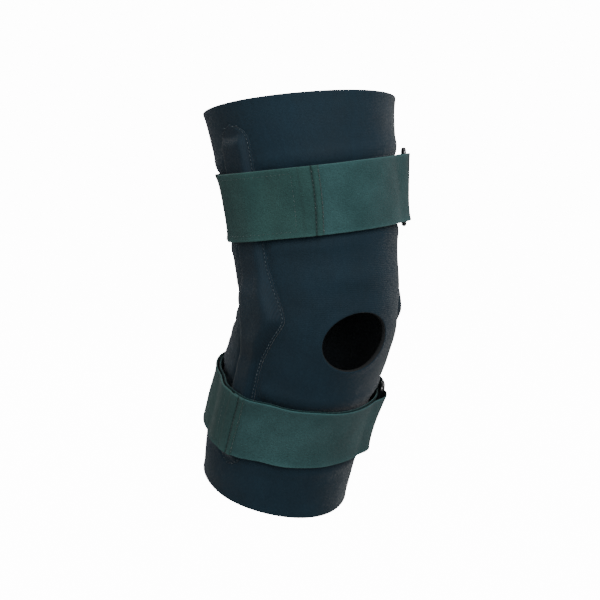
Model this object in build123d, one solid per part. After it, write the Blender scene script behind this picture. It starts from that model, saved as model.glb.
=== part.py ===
from build123d import *
import math
import os

# Hinged knee brace: a pull-on neoprene sleeve with a patella opening, a stitched side pocket
# each side that holds a riveted hinge, and two wrap straps that fold back through a ring.
#
# Frame: origin on the knee hinge axis, midway between the two hinges. +X is the medial side,
# -Y the front of the knee and +Z up. The thigh leans back and the calf leans under it.
# Every shape below is drawn square to the limb first, with its height measured along the
# limb, and then turned about the hinge axis by the lean of the limb at that height.
# Positions round the limb are angles from the front, positive towards the medial side.
# All lengths are in millimetres and all angles in degrees.

# ------------------------------------------------------------------ limb and sleeve
THIGH_LEAN = -8.0
CALF_LEAN = 20.0
BEND_REACH = 45.0            # the limb bends over this height each side of the hinge
SLEEVE_TOP = 163.0
SLEEVE_BOTTOM = -157.0
SLEEVE_WALL = 3.3
LIMB_STATIONS = [            # height, half width, front reach, back reach, centre's offset
    (SLEEVE_BOTTOM, 60, 58, 63, 6.5, 0.08),     # to the back, flatness of the back
    (-125, 61, 58, 69, 7.5, 0.14),
    (-90, 61, 58, 69, 7.5, 0.24),
    (-45, 61, 62, 67, 5.5, 0.25),
    (0, 62, 64, 64, 4.5, 0.25),
    (45, 63, 69, 66, 2.5, 0.24),
    (85, 65, 73, 70, 1.5, 0.2),
    (125, 70, 75, 73, 3.5, 0.12),
    (SLEEVE_TOP, 76, 76, 76, 5.5, 0.06),
]
SECTIONS = {                 # lowest and highest point of each length of sleeve and pocket
    "thigh": (64.0, 200.0),
    "knee": (-57.7, 64.0),
    "calf": (-200.0, -58.0),
}
LOFT_STEP = 8.0              # the limb's rounded shape is drawn at heights this far apart
PATELLA_ANGLE = -9.1         # where the patella opening's middle is round the limb
PATELLA_HEIGHT = -8.1
PATELLA_HALF_WIDTH = 28.0
PATELLA_HALF_HEIGHT = 24.6
PATELLA_ROLL = 13.3          # the oval is turned this far, up towards the medial side

# ------------------------------------------------------------------ hinges and pockets
FLEX_BACK = -28.0            # joint travel from the rest bend to a straight leg
FLEX_ON = 57.0               # joint travel from the rest bend to the fullest bend
ARM_WIDTH = 14.0
ARM_THICK = 1.6
ARM_GAP = 0.5                # between the sleeve and the arms
UPPER_ARM_LENGTH = 122.0
LOWER_ARM_LENGTH = 106.0
ARM_STRAIGHT = 16.0          # the arms stay in the hinge plane this far from the axis
ARM_JOGGLE_END = 36.0        # and lie against the sleeve from here on
HINGE_RADIUS = 12.5
COVER_THICK = 0.8
COVER_CHAMFER = 0.4
RIVET_RADIUS = 3.0
RIVET_HEAD_RADIUS = 5.0
RIVET_HEAD_THICK = 0.6
RIVET_CLEARANCE = 0.06
WASHER_RADIUS = 9.5
STOP_PIN_RADIUS = 1.3
STOP_PIN_ORBIT = 8.0         # distance of the stop pin from the hinge axis
STOP_PIN_ANGLE = 20.0        # turned about +X from straight up
STOP_SLOT_CLEARANCE = 0.2
TIP_LENGTH = 14.0
TIP_SIDE = 0.8
TIP_SKIN = 0.3
INNER_COVER_LEVEL = 0.5      # levels are distances outward from the sleeve at the hinge
LOWER_ARM_LEVEL = 1.4
WASHER_LEVEL = 3.05
WASHER_THICK = 0.3
UPPER_ARM_LEVEL = 3.4
OUTER_COVER_LEVEL = 5.1
POCKET_STEP = 3.5
POCKET_SKIN = 1.4
POCKET_GAP = 0.1             # between the sleeve and the sewn edges of the pocket
POCKET_ARM_LIFT = 3.5        # room under the pocket skin along the arms
POCKET_HINGE_LIFT = 7.0      # and over the hinge
POCKET_OUTLINE = [           # height, reach to the front, reach to the back
    (-126, 1.5, 1.5),
    (-124.5, 5.5, 5.5),
    (-118, 9.3, 10.5),
    (-90, 9.5, 10.8),
    (-52, 9.5, 11),
    (-38, 9.7, 11),
    (-28, 10.5, 11.5),
    (-13, 15, 15),
    (0, 22, 19),
    (6, 21.5, 19.5),
    (24, 16, 15.5),
    (40, 13.8, 13.2),
    (90, 13.5, 13),
    (134, 14.5, 13),
    (142, 10.5, 9.5),
    (145, 5, 5),
    (146, 1.5, 1.5),
]

# ------------------------------------------------------------------ straps, tabs and rings
STRAP_THICK = 1.6
STRAP_GAP = 0.4              # between the sleeve and the strap's first turn
OVER_LIFT = 2.5              # underside of the strap's second turn above the sleeve
HOOK_LIFT = 2.4
HOOK_THICK = 0.8
TAB_LIFT = 3.35
TAB_THICK = 1.4
CHAFE_THICK = 1.2
CHAFE_HALF_WIDTH = 23.0
STRAP_BUMP = 6.3             # how far the straps rise where they cross a pocket
BUMP_FLAT = 9.0
BUMP_REACH = 29.0
RING_WIRE_RADIUS = 1.75
RING_BAR_SPACING = 9.5
RING_CORNER = 3.0
RING_SPARE = 1.3             # between each strap edge and the ring's end bar
RING_LIFT = 5.0
STRAP_LOOP_ROOM = 1.1        # between the front bar and the strap folded round it
CHAFE_LOOP_ROOM = 0.4        # between the rear bar and the chafe folded round it
STRAP_START = 106.0          # where each strap is sewn down, behind its chafe
CHAFE_START = 104.0
TAB_GAP = 0.6                # degrees left between the strap's end and the tab
HOOK_INSET = 6.0             # degrees from the tab's seam to the hook patch
HOOK_END_INSET = 3.0
PATH_STEP = 4.0              # degrees from one point of a strap to the next
TAB_STEP = 2.0

THIGH_STRAP = {              # middle line's height = level + roll * x + pitch * y
    "level": 91.3, "roll": 0.095, "pitch": 0.08, "half_width": 26.2,
    "ring": 50.0, "seam": -44.5, "tab_end": -102.0, "lean": THIGH_LEAN,
}
CALF_STRAP = {
    "level": -84.6, "roll": 0.05, "pitch": -0.02, "half_width": 25.4,
    "ring": 50.0, "seam": -83.0, "tab_end": -157.0, "lean": CALF_LEAN,
}

NODES = {}


# ------------------------------------------------------------------ limb surface
def smooth(t):
    """Ease from 0 to 1 as t goes from 0 to 1."""
    t = min(max(t, 0.0), 1.0)
    return t * t * (3 - 2 * t)


def read_table(table, height):
    """The other columns of a table at a height, on a smooth curve through its rows."""
    last = len(table) - 1
    height = min(max(height, table[0][0]), table[last][0])
    i = 0
    while i < last - 1 and table[i + 1][0] < height:
        i += 1
    span = table[i + 1][0] - table[i][0]
    t = (height - table[i][0]) / span
    values = []
    for column in range(1, len(table[0])):
        start = table[i][column]
        end = table[i + 1][column]
        slope_start = slope(table, i, column) * span
        slope_end = slope(table, i + 1, column) * span
        values.append(
            (2 * t**3 - 3 * t**2 + 1) * start
            + (t**3 - 2 * t**2 + t) * slope_start
            + (3 * t**2 - 2 * t**3) * end
            + (t**3 - t**2) * slope_end
        )
    return values


def slope(table, row, column):
    """Slope of one column at one row, from the rows beside it."""
    low = table[max(row - 1, 0)]
    high = table[min(row + 1, len(table) - 1)]
    return (high[column] - low[column]) / (high[0] - low[0])


def lean_at(height):
    """How far the limb leans about +X at a height."""
    t = smooth((height + BEND_REACH) / (2 * BEND_REACH))
    return CALF_LEAN + (THIGH_LEAN - CALF_LEAN) * t


def limb_xy(height, angle, lift=0.0):
    """A point lift outside the sleeve, square to the limb."""
    half_width, front, back, centre, flatness = read_table(LIMB_STATIONS, height)
    c = math.cos(math.radians(angle))
    x = (half_width + lift) * math.sin(math.radians(angle))
    if c > 0:
        return x, centre - (front + lift) * c
    back *= 1 + flatness * (0.4 - c * c)
    return x, centre - (back + lift) * c


def limb_angle(x, y, height):
    """The angle round the front of the limb at which a point stands."""
    half_width, front, back, centre, flatness = read_table(LIMB_STATIONS, height)
    return math.degrees(math.atan2(x / half_width, (centre - y) / front))


def side_x(height, y):
    """How far out the sleeve's side is at a height and a distance behind the hinge axis."""
    half_width, front, back, centre, flatness = read_table(LIMB_STATIONS, height)
    reach = front if y < centre else back
    return half_width * math.sqrt(max(1 - ((y - centre) / reach) ** 2, 0))


def flank_x(height):
    """How far out the sleeve reaches anywhere across the width of a hinge arm."""
    centre = read_table(LIMB_STATIONS, height)[3]
    return side_x(height, min(centre, ARM_WIDTH / 2))


def bent(x, y, height):
    """A point drawn square to the limb, turned with the limb at its height."""
    return Vector(x, y, height).rotate(Axis.X, lean_at(height))


# ------------------------------------------------------------------ sleeve
def steps_between(low, high, step):
    """Heights from low to high, about a step apart."""
    count = max(round((high - low) / step), 1)
    return [low + (high - low) * i / count for i in range(count + 1)]


def limb_loft(low, high, lift):
    """The solid limb shape between two heights, lift outside the sleeve's outer face."""
    wires = []
    for height in steps_between(low, high, LOFT_STEP):
        around = [limb_xy(height, angle, lift) for angle in range(-180, 180, 15)]
        points = [bent(x, y, height) for x, y in around]
        wires.append(Wire([Edge.make_spline(points, periodic=True)]))
    return Solid.make_loft(wires, ruled=True)


def sleeve_section(low, high):
    """One length of the neoprene tube."""
    return limb_loft(low, high, 0.0) - limb_loft(low - 2, high + 2, -SLEEVE_WALL)


def patella_cutter():
    """The oval bar that cuts the patella opening through the front wall."""
    x, y = limb_xy(PATELLA_HEIGHT, PATELLA_ANGLE, 10)
    lean = lean_at(PATELLA_HEIGHT)
    outward = Vector(0, -1, 0).rotate(Axis.Z, PATELLA_ANGLE).rotate(Axis.X, lean)
    across = Vector(1, 0, 0).rotate(Axis.Y, -PATELLA_ROLL)
    across = across.rotate(Axis.Z, PATELLA_ANGLE).rotate(Axis.X, lean)
    face = Plane(origin=bent(x, y, PATELLA_HEIGHT), x_dir=across, z_dir=outward)
    return extrude(face * Ellipse(PATELLA_HALF_WIDTH, PATELLA_HALF_HEIGHT), amount=-45)


def add_sleeve():
    """The neoprene sleeve in its three sections."""
    for name, (low, high) in SECTIONS.items():
        NODES[f"sleeve_{name}_section"] = sleeve_section(
            max(low, SLEEVE_BOTTOM), min(high, SLEEVE_TOP)
        )
    NODES["sleeve_knee_section"] -= patella_cutter()


# ------------------------------------------------------------------ side pockets
def pocket_lift(height):
    """Room under the pocket skin: most over the hinge and less along the arms."""
    over_hinge = 1 - smooth((abs(height) - ARM_STRAIGHT) / (ARM_JOGGLE_END - ARM_STRAIGHT))
    return POCKET_ARM_LIFT + (POCKET_HINGE_LIFT - POCKET_ARM_LIFT) * over_hinge


def pocket_rise(height):
    """1 where the pocket is raised off the sleeve, falling to 0 at its sewn ends."""
    top = 1 - smooth((height - UPPER_ARM_LENGTH - 9) / 9)
    bottom = 1 - smooth((-height - LOWER_ARM_LENGTH - 9) / 9)
    return top * bottom


def pocket_wire(height):
    """The pocket skin cut across: an arch that is flat on top and sewn down at both edges."""
    front, back = read_table(POCKET_OUTLINE, height)
    inner = []
    outer = []
    for step in range(-6, 7):
        u = step / 6
        y = u * (front if u < 0 else back)
        base_x = side_x(height, y) + POCKET_GAP
        raised_x = flank_x(height) + pocket_lift(height)
        x = base_x + (raised_x - base_x) * (1 - u**8) * pocket_rise(height)
        inner.append(bent(x, y, height))
        outer.append(bent(x + POCKET_SKIN, y, height))
    return Wire.make_polygon(outer + inner[::-1], close=True)


def add_pockets():
    """A stitched hinge pocket down each side, in the same sections as the sleeve."""
    bottom = POCKET_OUTLINE[0][0]
    top = POCKET_OUTLINE[-1][0]
    for name, (low, high) in SECTIONS.items():
        heights = steps_between(max(low, bottom), min(high, top), POCKET_STEP)
        section = Solid.make_loft([pocket_wire(height) for height in heights], ruled=True)
        NODES[f"medial_pocket_{name}_section"] = section
        NODES[f"lateral_pocket_{name}_section"] = mirror(section, about=Plane.YZ)


# ------------------------------------------------------------------ hinges
def arm_profile(level, direction, half_thick):
    """The edge view of an arm: straight past the hinge, then joggled in to follow the sleeve."""
    hinge_x = flank_x(0) + level + ARM_THICK / 2
    middle = [(hinge_x, -HINGE_RADIUS - 2), (hinge_x, -4), (hinge_x, 6)]
    length = UPPER_ARM_LENGTH if direction > 0 else LOWER_ARM_LENGTH
    along = ARM_STRAIGHT
    while along < length + ARM_WIDTH:
        t = smooth((along - ARM_STRAIGHT) / (ARM_JOGGLE_END - ARM_STRAIGHT))
        follow_x = flank_x(direction * along) + ARM_GAP + ARM_THICK / 2
        middle.append((hinge_x + (follow_x - hinge_x) * t, along))
        along += 4
    near = [(x - half_thick, 0, direction * along) for x, along in middle]
    far = [(x + half_thick, 0, direction * along) for x, along in middle]
    edges = [
        Edge.make_spline(near),
        Edge.make_line(near[-1], far[-1]),
        Edge.make_spline(far[::-1]),
        Edge.make_line(far[0], near[0]),
    ]
    return extrude(Face(Wire(edges)), amount=HINGE_RADIUS + 5, both=True)


def side_block(outline):
    """A side-view outline, drawn with Y across and Z up, as a bar across the medial side."""
    return extrude(Plane.YZ.offset(flank_x(0) - 12) * outline, amount=40)


def arm_blank(level, direction):
    """One hinge arm without its holes, standing straight along the limb."""
    length = UPPER_ARM_LENGTH if direction > 0 else LOWER_ARM_LENGTH
    outline = Circle(HINGE_RADIUS)
    outline += Pos(0, direction * length / 2) * Rectangle(ARM_WIDTH, length)
    outline += Pos(0, direction * length) * Circle(ARM_WIDTH / 2)
    return arm_profile(level, direction, ARM_THICK / 2) & side_block(outline)


def arm_tip(arm, level, direction):
    """The dipped plastic tip round the free end of an arm."""
    length = UPPER_ARM_LENGTH if direction > 0 else LOWER_ARM_LENGTH
    half = ARM_WIDTH / 2 + TIP_SIDE
    outline = Pos(0, direction * length) * Circle(half)
    outline += Pos(0, direction * (length - TIP_LENGTH / 2)) * Rectangle(2 * half, TIP_LENGTH)
    shell = arm_profile(level, direction, ARM_THICK / 2 + TIP_SKIN) & side_block(outline)
    return shell - arm


def hinge_disc(radius, level, thick):
    """A flat disc on the hinge axis."""
    start = flank_x(0) + level
    return extrude(Plane.YZ.offset(start) * Circle(radius), amount=thick)


def stop_slot(margin):
    """The curved slot that the stop pin travels in, spanning the joint's range."""
    start = 90 + STOP_PIN_ANGLE - FLEX_ON - margin
    sweep_angle = FLEX_ON - FLEX_BACK + 2 * margin
    arc = CenterArc((0, 0), STOP_PIN_ORBIT, start, sweep_angle)
    return SlotArc(arc, 2 * (STOP_PIN_RADIUS + STOP_SLOT_CLEARANCE))


def hinge_pieces():
    """Every piece of the medial hinge, by name."""
    rivet_start = INNER_COVER_LEVEL
    rivet_end = OUTER_COVER_LEVEL + COVER_THICK
    rivet_bore = hinge_disc(RIVET_RADIUS, 0, 10)
    loose_bore = hinge_disc(RIVET_RADIUS + RIVET_CLEARANCE, 0, 10)
    angle = math.radians(STOP_PIN_ANGLE)
    pin_y = -STOP_PIN_ORBIT * math.sin(angle)
    pin_z = STOP_PIN_ORBIT * math.cos(angle)
    pin = Pos(0, pin_y, pin_z) * hinge_disc(
        STOP_PIN_RADIUS, LOWER_ARM_LEVEL, UPPER_ARM_LEVEL + ARM_THICK - LOWER_ARM_LEVEL
    )

    upper_arm = Rot(THIGH_LEAN, 0, 0) * arm_blank(UPPER_ARM_LEVEL, 1)
    upper_tip = Rot(THIGH_LEAN, 0, 0) * arm_tip(
        arm_blank(UPPER_ARM_LEVEL, 1), UPPER_ARM_LEVEL, 1
    )
    lower_arm = Rot(CALF_LEAN, 0, 0) * arm_blank(LOWER_ARM_LEVEL, -1)
    lower_tip = Rot(CALF_LEAN, 0, 0) * arm_tip(
        arm_blank(LOWER_ARM_LEVEL, -1), LOWER_ARM_LEVEL, -1
    )
    slot = extrude(Plane.YZ.offset(flank_x(0)) * stop_slot(1.5), amount=LOWER_ARM_LEVEL + 2)

    inner_cover = hinge_disc(HINGE_RADIUS, INNER_COVER_LEVEL, COVER_THICK) - rivet_bore
    outer_cover = hinge_disc(HINGE_RADIUS, OUTER_COVER_LEVEL, COVER_THICK)
    outer_cover = chamfer(
        outer_cover.faces().sort_by(Axis.X)[-1].edges(), COVER_CHAMFER
    ) - rivet_bore
    washer = hinge_disc(WASHER_RADIUS, WASHER_LEVEL, WASHER_THICK) - rivet_bore
    rivet = hinge_disc(RIVET_RADIUS, rivet_start, rivet_end - rivet_start)
    head = hinge_disc(RIVET_HEAD_RADIUS, rivet_end, RIVET_HEAD_THICK)
    head = chamfer(head.faces().sort_by(Axis.X)[-1].edges(), RIVET_HEAD_THICK * 0.6)
    tail = hinge_disc(RIVET_HEAD_RADIUS, INNER_COVER_LEVEL - 0.25, 0.25)
    return {
        "hinge_upper_arm": upper_arm - rivet_bore - pin,
        "hinge_lower_arm": lower_arm - loose_bore - slot,
        "hinge_upper_arm_tip": upper_tip,
        "hinge_lower_arm_tip": lower_tip,
        "hinge_inner_cover": inner_cover,
        "hinge_outer_cover": outer_cover,
        "hinge_washer": washer - pin,
        "hinge_rivet": rivet + head + tail,
        "hinge_stop_pin": pin,
    }


def add_hinges():
    """The same hinge on both sides of the knee."""
    for name, piece in hinge_pieces().items():
        NODES[f"medial_{name}"] = piece
        NODES[f"lateral_{name}"] = mirror(piece, about=Plane.YZ)


# ------------------------------------------------------------------ straps
def strap_point(strap, edge, angle, lift):
    """A point on the strap's plane, edge above its middle line and lift outside the sleeve."""
    height = strap["level"] + edge
    x, y = limb_xy(height, angle, lift)
    height = strap["level"] + edge + strap["roll"] * x + strap["pitch"] * y
    x, y = limb_xy(height, angle, lift + strap_bump(limb_xy(height, angle)[1]))
    height = strap["level"] + edge + strap["roll"] * x + strap["pitch"] * y
    return Vector(x, y, height)


def strap_bump(y):
    """Extra lift where a strap crosses a side pocket."""
    return STRAP_BUMP * (1 - smooth((abs(y) - BUMP_FLAT) / (BUMP_REACH - BUMP_FLAT)))


def ring_plane(strap):
    """The ring's own plane: x along the strap, y along the bars and z outward."""
    angle = strap["ring"]
    centre = strap_point(strap, 0, angle, RING_LIFT)
    along = strap_point(strap, 0, angle + 4, 0) - strap_point(strap, 0, angle - 4, 0)
    up = strap_point(strap, 20, angle, 0) - strap_point(strap, -20, angle, 0)
    return Plane(origin=centre, x_dir=along, z_dir=along.cross(up))


def bar_point(strap, edge, side):
    """Where the front (-1) or rear (+1) bar crosses the plane of one strap edge."""
    plane = ring_plane(strap)
    start = plane.origin + plane.x_dir * (side * RING_BAR_SPACING / 2)
    across = plane.y_dir
    wanted = strap["level"] + edge - start.Z + strap["roll"] * start.X + strap["pitch"] * start.Y
    rate = across.Z - strap["roll"] * across.X - strap["pitch"] * across.Y
    return start + across * (wanted / rate)


def fold_points(strap, edge, side, radius):
    """Half a turn round one bar, from its underside to its top."""
    plane = ring_plane(strap)
    centre = bar_point(strap, edge, side)
    points = []
    for turn in (15, 45, 70, 90, 110, 135, 165):
        along = -side * radius * math.sin(math.radians(turn))
        out = -radius * math.cos(math.radians(turn))
        point = centre + plane.x_dir * along + plane.z_dir * out
        height = strap["level"] + edge + strap["roll"] * point.X + strap["pitch"] * point.Y
        points.append(Vector(point.X, point.Y, height))
    return points


def run_points(strap, edge, start, end, lift_start, lift_end, count, ease=1.0):
    """Points round the limb from one angle to another, easing between two lifts."""
    points = []
    for step in range(count + 1):
        angle = start + (end - start) * step / count
        t = smooth(abs(angle - start) / ease)
        points.append(strap_point(strap, edge, angle, lift_start + (lift_end - lift_start) * t))
    return points


def folded_path(strap, edge, side, start, end, thick, room):
    """A band's middle line: round the limb, under one bar of the ring and back on itself."""
    radius = RING_WIRE_RADIUS + room + thick / 2
    bar = bar_point(strap, edge, side)
    bar_angle = limb_angle(bar.X, bar.Y, bar.Z)
    under = STRAP_GAP + thick / 2
    over = OVER_LIFT + thick / 2
    near_bar = bar_angle + side * 3
    top = RING_LIFT + radius - 0.2
    under_count = round(abs(strap["ring"] - start) / PATH_STEP)
    over_count = round(abs(strap["ring"] - end) / PATH_STEP)
    path = run_points(strap, edge, start, near_bar, under, under, under_count)
    path += fold_points(strap, edge, side, radius)
    path += run_points(strap, edge, near_bar + side, end, top, over, over_count, 16)
    return path


def band_outline(strap, edge, path, thick):
    """The closed outline, in the plane of one strap edge, of a band with this middle line."""
    outer = []
    inner = []
    for i, point in enumerate(path):
        along = path[min(i + 1, len(path) - 1)] - path[max(i - 1, 0)]
        across = Vector(-along.Y, along.X, 0).normalized() * (thick / 2)
        for line, x, y in (
            (outer, point.X + across.X, point.Y + across.Y),
            (inner, point.X - across.X, point.Y - across.Y),
        ):
            line.append(Vector(x, y, strap["level"] + edge + strap["roll"] * x + strap["pitch"] * y))
    return Wire.make_polygon(outer + inner[::-1], close=True)


def band(strap, edges, paths, thick):
    """A band of cloth through middle lines drawn at several heights across its width."""
    wires = [band_outline(strap, edge, path, thick) for edge, path in zip(edges, paths)]
    return Rot(strap["lean"], 0, 0) * Solid.make_loft(wires, ruled=True)


def strap_body(strap):
    """The strap from its sewn start, round the back, through the ring and back to its seam."""
    edges = (-strap["half_width"], 0, strap["half_width"])
    start = STRAP_START - 360
    paths = [
        folded_path(strap, edge, -1, start, strap["seam"], STRAP_THICK, STRAP_LOOP_ROOM)
        for edge in edges
    ]
    return band(strap, edges, paths, STRAP_THICK)


def chafe(strap):
    """The webbing loop, sewn down at both ends, that holds the ring's rear bar."""
    edges = (-CHAFE_HALF_WIDTH, 0, CHAFE_HALF_WIDTH)
    paths = [
        folded_path(strap, edge, 1, CHAFE_START, CHAFE_START, CHAFE_THICK, CHAFE_LOOP_ROOM)
        for edge in edges
    ]
    return band(strap, edges, paths, CHAFE_THICK)


def layer(strap, start, end, lift, thick, inset):
    """A plain layer of the pull tab, lift above the sleeve."""
    edges = (inset - strap["half_width"], 0, strap["half_width"] - inset)
    middle = lift + thick / 2
    count = round(abs(end - start) / TAB_STEP)
    paths = [run_points(strap, edge, start, end, middle, middle, count) for edge in edges]
    return band(strap, edges, paths, thick)


def ring(strap):
    """The rectangular wire ring."""
    plane = ring_plane(strap)
    length = 2 * (strap["half_width"] + RING_SPARE + RING_WIRE_RADIUS)
    outline = plane * RectangleRounded(RING_BAR_SPACING, length, RING_CORNER)
    path = outline.wire()
    start = path.position_at(0.4)
    section = Plane(origin=start, z_dir=path.tangent_at(0.4)) * Circle(RING_WIRE_RADIUS)
    return Rot(strap["lean"], 0, 0) * sweep(section, path=path)


def add_strap(name, strap):
    """One wrap strap with its ring, its chafe, its pull tab and the tab's hook patch."""
    seam = strap["seam"] - TAB_GAP
    end = strap["tab_end"]
    NODES[f"{name}_strap"] = strap_body(strap)
    NODES[f"{name}_ring"] = ring(strap)
    NODES[f"{name}_ring_chafe"] = chafe(strap)
    NODES[f"{name}_pull_tab"] = layer(strap, seam, end, TAB_LIFT, TAB_THICK, 0)
    NODES[f"{name}_hook_patch"] = layer(
        strap, seam - HOOK_INSET, end + HOOK_END_INSET, HOOK_LIFT, HOOK_THICK, 3
    )


add_sleeve()
add_pockets()
add_hinges()
add_strap("thigh", THIGH_STRAP)
add_strap("calf", CALF_STRAP)

os.makedirs("parts", exist_ok=True)
for node, shape in NODES.items():
    export_step(shape, f"parts/{node}.step")
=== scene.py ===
import math

import bpy
import numpy as np
from mathutils import Matrix, Vector


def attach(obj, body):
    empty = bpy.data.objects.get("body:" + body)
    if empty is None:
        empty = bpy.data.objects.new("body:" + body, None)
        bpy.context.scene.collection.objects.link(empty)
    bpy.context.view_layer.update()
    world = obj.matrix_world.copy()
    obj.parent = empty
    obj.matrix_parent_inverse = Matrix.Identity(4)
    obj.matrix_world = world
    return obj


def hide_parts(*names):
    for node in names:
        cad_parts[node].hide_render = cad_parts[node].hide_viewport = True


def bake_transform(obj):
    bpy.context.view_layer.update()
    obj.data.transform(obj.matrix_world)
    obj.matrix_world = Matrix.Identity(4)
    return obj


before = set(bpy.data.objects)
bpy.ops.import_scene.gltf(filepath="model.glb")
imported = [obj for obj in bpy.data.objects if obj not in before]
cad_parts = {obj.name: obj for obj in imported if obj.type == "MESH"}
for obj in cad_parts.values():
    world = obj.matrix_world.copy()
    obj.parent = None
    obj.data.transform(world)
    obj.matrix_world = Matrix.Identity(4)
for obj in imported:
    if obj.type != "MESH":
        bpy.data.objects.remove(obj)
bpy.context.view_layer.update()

# Hinged knee brace, in the frame shared with the CAD: origin on the knee hinge axis,
# +X medial, -Y front, +Z up.
# Shapes are worked out in millimetres square to the limb (height along it, angle round it from
# the front), turned by the limb's lean, and turned into metres only when a mesh is made.
MM = 0.001

# ---- sizes shared with the CAD
THIGH_LEAN = -8.0
CALF_LEAN = 20.0
BEND_REACH = 45.0
SLEEVE_TOP = 163.0
SLEEVE_BOTTOM = -157.0
SLEEVE_WALL = 3.3
# Rows of height, half width, reach to the front and to the back, middle behind the hinge axis,
# and how much flatter than an ellipse the back is.
LIMB = np.array([
    (-157, 60, 58, 63, 6.5, 0.08),
    (-125, 61, 58, 69, 7.5, 0.14),
    (-90, 61, 58, 69, 7.5, 0.24),
    (-45, 61, 62, 67, 5.5, 0.25),
    (0, 62, 64, 64, 4.5, 0.25),
    (45, 63, 69, 66, 2.5, 0.24),
    (85, 65, 73, 70, 1.5, 0.2),
    (125, 70, 75, 73, 3.5, 0.12),
    (163, 76, 76, 76, 5.5, 0.06),
])
PATELLA_ANGLE = -9.1
PATELLA_HEIGHT = -8.1
PATELLA_ROLL = 13.3
PATELLA_HALF = (28.0, 24.6)
ARM_WIDTH = 14.0
UPPER_ARM_LENGTH = 122.0
LOWER_ARM_LENGTH = 106.0
ARM_STRAIGHT = 16.0
ARM_JOGGLE_END = 36.0
POCKET_SKIN = 1.4
POCKET_ARM_LIFT = 3.5
POCKET_HINGE_LIFT = 7.0
# Rows of height, and the pocket's reach in front of the arm's middle line and behind it.
POCKET_OUTLINE = np.array([
    (-126, 1.5, 1.5), (-124.5, 5.5, 5.5), (-118, 9.3, 10.5), (-90, 9.5, 10.8),
    (-52, 9.5, 11), (-38, 9.7, 11), (-28, 10.5, 11.5), (-13, 15, 15), (0, 22, 19),
    (6, 21.5, 19.5), (24, 16, 15.5), (40, 13.8, 13.2), (90, 13.5, 13), (134, 14.5, 13),
    (142, 10.5, 9.5), (145, 5, 5), (146, 1.5, 1.5),
])
STRAP_THICK = 1.6
STRAP_GAP = 0.4
OVER_LIFT = 2.5
HOOK_LIFT = 2.4
HOOK_THICK = 0.8
TAB_LIFT = 3.35
TAB_THICK = 1.4
CHAFE_THICK = 1.2
CHAFE_HALF_WIDTH = 23.0
STRAP_BUMP = 6.3
BUMP_FLAT = 9.0
BUMP_REACH = 29.0
RING_WIRE_RADIUS = 1.75
RING_BAR_SPACING = 9.5
RING_LIFT = 5.0
STRAP_LOOP_ROOM = 1.1
CHAFE_LOOP_ROOM = 0.4
STRAP_START = 106.0
CHAFE_START = 104.0
HOOK_INSET = 6.0
# A strap lies in a plane: level at the axis, rising by roll across and by pitch to the back.
# Ring, seam and end are angles, half is half the strap's width.
STRAPS = {
    "thigh": {
        "level": 91.3, "roll": 0.095, "pitch": 0.08, "half": 26.2,
        "ring": 50.0, "seam": -44.5, "end": -102.0, "lean": THIGH_LEAN,
    },
    "calf": {
        "level": -84.6, "roll": 0.05, "pitch": -0.02, "half": 25.4,
        "ring": 50.0, "seam": -83.0, "end": -157.0, "lean": CALF_LEAN,
    },
}


# ---- limb surface
def smooth(t):
    """Ease from 0 to 1 as t goes from 0 to 1."""
    t = np.clip(t, 0.0, 1.0)
    return t * t * (3 - 2 * t)


def read_table(table, height):
    """The other columns of a table at each height, on a smooth curve through its rows."""
    rows = table[:, 0]
    h = np.clip(np.asarray(height, float), rows[0], rows[-1])
    i = np.clip(np.searchsorted(rows, h) - 1, 0, len(rows) - 2)
    low = np.maximum(np.arange(len(rows)) - 1, 0)
    high = np.minimum(np.arange(len(rows)) + 1, len(rows) - 1)
    slopes = (table[high] - table[low]) / (rows[high] - rows[low])[:, None]
    span = (rows[i + 1] - rows[i])[..., None]
    t = (h - rows[i])[..., None] / span
    value = (
        (2 * t**3 - 3 * t**2 + 1) * table[i]
        + (t**3 - 2 * t**2 + t) * slopes[i] * span
        + (3 * t**2 - 2 * t**3) * table[i + 1]
        + (t**3 - t**2) * slopes[i + 1] * span
    )
    return np.moveaxis(value[..., 1:], -1, 0)


def limb_xy(height, angle, lift=0.0):
    """Points lift outside the sleeve, square to the limb."""
    half, front, back, centre, flat = read_table(LIMB, height)
    a = np.radians(angle)
    c = np.cos(a)
    reach = np.where(c > 0, front + lift, (back + lift) * (1 + flat * (0.4 - c * c)))
    return (half + lift) * np.sin(a), centre - reach * c


def side_x(height, y):
    """How far out the sleeve's side is at a height and a distance behind the hinge axis."""
    half, front, back, centre, _ = read_table(LIMB, height)
    reach = np.where(y < centre, front, back)
    return half * np.sqrt(np.maximum(1 - ((y - centre) / reach) ** 2, 0))


def flank_x(height):
    """How far out the sleeve reaches across the width of a hinge arm."""
    centre = read_table(LIMB, height)[3]
    return side_x(height, np.minimum(centre, ARM_WIDTH / 2))


def turned(points, lean):
    """Points turned about +X by a lean in degrees, one for all of them or one each."""
    a = np.radians(lean)
    x, y, z = points[..., 0], points[..., 1], points[..., 2]
    return np.stack([x, y * np.cos(a) - z * np.sin(a), y * np.sin(a) + z * np.cos(a)], -1)


def bent(x, y, height):
    """Points drawn square to the limb, turned with the limb at their height."""
    x, y, height = np.broadcast_arrays(x, y, height)
    t = smooth((height + BEND_REACH) / (2 * BEND_REACH))
    return turned(np.stack([x, y, height], -1), CALF_LEAN + (THIGH_LEAN - CALF_LEAN) * t)


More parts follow.
